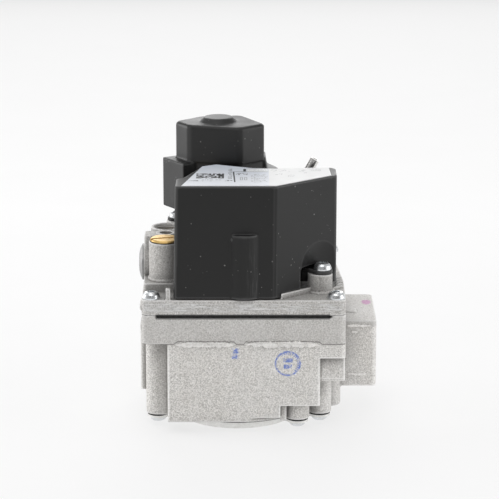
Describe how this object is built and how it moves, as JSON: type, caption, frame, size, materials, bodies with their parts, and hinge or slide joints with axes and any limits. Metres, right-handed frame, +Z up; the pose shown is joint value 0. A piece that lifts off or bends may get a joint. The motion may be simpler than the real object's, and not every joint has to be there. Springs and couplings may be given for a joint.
{
  "type": "gas valve",
  "caption": "Two-stage servo gas valve: die-cast body and top plate with side ports, regulator towers, black control cover and hexagonal coil cover.",
  "frame": {"origin": "centre of the bottom cover's lower face, which the valve stands on, on the main valve's axis", "axes": "+Z up; +X towards the inlet port; -Y is the front, the side the control cover's flat face looks to"},
  "size_m": [0.1074, 0.094, 0.1329],
  "materials": {
    "cast_aluminium": "as die-cast, matt with a fine speckle",
    "turned_aluminium": "turned",
    "gasket": "matt",
    "rubber": "matt",
    "zinc_screw": "bright zinc plate",
    "plated_steel": "zinc plate",
    "spring_steel": "bright drawn",
    "brass": "turned",
    "black_plastic": "fine moulded texture, dusty",
    "label_paper": "satin printed film",
    "bobbin_plastic": "moulded nylon",
    "copper_winding": "enamelled copper wire"
  },
  "bodies": {
    "casting": {"valve_body": "cast_aluminium", "top_plate": "cast_aluminium", "plate_gasket": "gasket", "plate_screws": "zinc_screw", "bottom_cover": "plated_steel", "bottom_screws": "zinc_screw", "main_diaphragm": "rubber", "main_spring": "spring_steel", "inlet_screen": "spring_steel", "inlet_tap_plug": "plated_steel", "outlet_tap_plug": "plated_steel", "control_cover": "black_plastic", "cover_label": "label_paper", "cover_screw": "zinc_screw", "coil_cover": "black_plastic", "coil_cover_screw": "zinc_screw", "connector_pins": "brass", "main_guide_tube": "spring_steel", "main_core": "plated_steel", "main_plunger_spring": "spring_steel", "main_bobbin": "bobbin_plastic", "main_winding": "copper_winding", "main_magnet_frame": "plated_steel", "stage_guide_tube": "spring_steel", "stage_core": "plated_steel", "stage_plunger_spring": "spring_steel", "stage_bobbin": "bobbin_plastic", "stage_winding": "copper_winding", "stage_magnet_frame": "plated_steel", "low_spring": "spring_steel", "low_diaphragm": "rubber", "low_retainer": "turned_aluminium", "high_spring": "spring_steel", "high_diaphragm": "rubber", "high_retainer": "turned_aluminium", "bleed_orifice": "brass", "side_port_cap": "turned_aluminium", "vent_tube": "plated_steel"},
    "main_valve": {"main_poppet": "turned_aluminium", "poppet_seal": "rubber", "main_stem": "brass", "diaphragm_plate": "plated_steel", "diaphragm_washer": "plated_steel"},
    "main_plunger": {"main_plunger": "plated_steel", "main_plunger_seal": "rubber"},
    "stage_plunger": {"stage_plunger": "plated_steel", "stage_plunger_seal": "rubber"},
    "low_servo": {"low_servo_cup": "turned_aluminium"},
    "high_servo": {"high_servo_cup": "turned_aluminium"},
    "low_seat": {"low_spring_seat": "plated_steel"},
    "low_adjusting_screw": {"low_adjuster": "brass"},
    "high_seat": {"high_spring_seat": "plated_steel"},
    "high_adjusting_screw": {"high_adjuster": "brass"},
    "cap_washer": {"low_cap_washer": "gasket"},
    "cap": {"low_regulator_cap": "brass"}
  },
  "joints": [
    {"name": "main_valve_lift", "type": "slide", "parent": "casting", "child": "main_valve", "axis": [0, 0, 1], "range_m": [0, 0.004], "stiffness_N_per_m": 600, "springref_m": -0.006, "deforming": ["main_spring", "main_diaphragm"]},
    {"name": "main_plunger_lift", "type": "slide", "parent": "casting", "child": "main_plunger", "axis": [0, 0, 1], "range_m": [0, 0.0018], "stiffness_N_per_m": 300, "springref_m": -0.003, "deforming": ["main_plunger_spring"]},
    {"name": "stage_plunger_lift", "type": "slide", "parent": "casting", "child": "stage_plunger", "axis": [0, 0, 1], "range_m": [0, 0.0018], "stiffness_N_per_m": 300, "springref_m": -0.003, "deforming": ["stage_plunger_spring"]},
    {"name": "low_servo_lift", "type": "slide", "parent": "casting", "child": "low_servo", "axis": [0, 0, 1], "range_m": [0, 0.0006], "stiffness_N_per_m": 500, "springref_m": -0.002, "deforming": ["low_diaphragm", "low_spring"]},
    {"name": "high_servo_lift", "type": "slide", "parent": "casting", "child": "high_servo", "axis": [0, 0, 1], "range_m": [0, 0.0006], "stiffness_N_per_m": 500, "springref_m": -0.002, "deforming": ["high_diaphragm", "high_spring"]},
    {"name": "low_adjuster_travel", "type": "slide", "parent": "casting", "child": "low_seat", "axis": [0, 0, 1], "range_m": [-0.003, 0.001], "deforming": ["low_spring"]},
    {"name": "low_adjuster_turn", "type": "hinge", "parent": "low_seat", "child": "low_adjusting_screw", "pos_m": [-0.0321, -0.0132, 0.0776], "axis": [0, 0, 1], "range_deg": [-1082, 362]},
    {"name": "high_adjuster_travel", "type": "slide", "parent": "casting", "child": "high_seat", "axis": [0, 0, 1], "range_m": [-0.003, 0.001], "deforming": ["high_spring"]},
    {"name": "high_adjuster_turn", "type": "hinge", "parent": "high_seat", "child": "high_adjusting_screw", "pos_m": [-0.0321, 0.0101, 0.0776], "axis": [0, 0, 1], "range_deg": [-1082, 362]},
    {"name": "cap_travel", "type": "slide", "parent": "casting", "child": "cap_washer", "axis": [0, 0, 1], "range_m": [0, 0.0031]},
    {"name": "cap_turn", "type": "hinge", "parent": "cap_washer", "child": "cap", "pos_m": [-0.0321, -0.0132, 0.0855], "axis": [0, 0, 1], "range_deg": [0, 1118]}
  ],
  "couplings": [
    {"joint": "low_adjuster_turn", "follows": "low_adjuster_travel", "rad_per_m": 6283.2},
    {"joint": "high_adjuster_turn", "follows": "high_adjuster_travel", "rad_per_m": 6283.2},
    {"joint": "cap_turn", "follows": "cap_travel", "rad_per_m": 6283.2}
  ]
}
